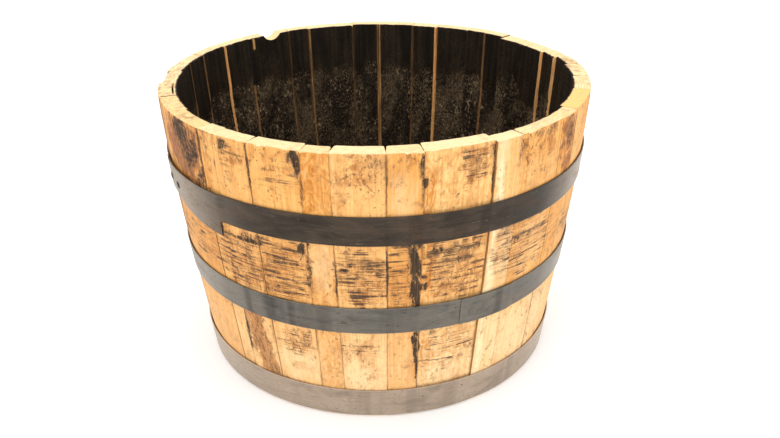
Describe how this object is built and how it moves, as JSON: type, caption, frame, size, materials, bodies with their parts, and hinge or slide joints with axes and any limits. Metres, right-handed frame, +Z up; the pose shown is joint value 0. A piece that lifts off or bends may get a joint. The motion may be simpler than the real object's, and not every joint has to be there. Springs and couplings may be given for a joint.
{
  "type": "half oak barrel",
  "caption": "Half of an oak barrel sawn across at its widest point: coopered staves in riveted flat steel hoops on a boarded head, charred black inside, open at the top.",
  "frame": {"origin": "on the barrel's axis, at the level of the stave ends that it stands on", "axes": "+Z up along the barrel's axis, -Y towards the front, +X to the right seen from the front"},
  "size_m": [0.6587, 0.66, 0.44],
  "materials": {
    "oak": "bare weathered oak outside, sawn end grain at the rim, charred black inside",
    "head_oak": "oak boards, charred inside and bare below",
    "hoop_steel": "dull weathered mild steel strip with brown bloom",
    "rivet_steel": "dark weathered steel",
    "dowel_wood": "bare turned hardwood"
  },
  "bodies": {
    "root": {"stave_01": "oak", "stave_02": "oak", "stave_03": "oak", "stave_04": "oak", "stave_05": "oak", "stave_06": "oak", "stave_07": "oak", "stave_08": "oak", "stave_09": "oak", "stave_10": "oak", "stave_11": "oak", "stave_12": "oak", "stave_13": "oak", "stave_14": "oak", "stave_15": "oak", "stave_16": "oak", "stave_17": "oak", "stave_18": "oak", "stave_19": "oak", "stave_20": "oak", "stave_21": "oak", "stave_22": "oak", "stave_23": "oak", "stave_24": "oak", "stave_25": "oak", "stave_26": "oak", "stave_27": "oak", "stave_28": "oak", "stave_29": "oak", "stave_30": "oak", "stave_31": "oak", "stave_32": "oak", "stave_33": "oak", "stave_34": "oak", "bilge_hoop": "hoop_steel", "bilge_hoop_rivets": "rivet_steel", "quarter_hoop": "hoop_steel", "quarter_hoop_rivets": "rivet_steel", "head_hoop": "hoop_steel", "head_hoop_rivets": "rivet_steel", "head_board_1": "head_oak", "head_board_2": "head_oak", "head_board_3": "head_oak", "head_board_4": "head_oak", "head_board_5": "head_oak", "head_board_6": "head_oak", "head_dowels": "dowel_wood"}
  },
  "joints": []
}
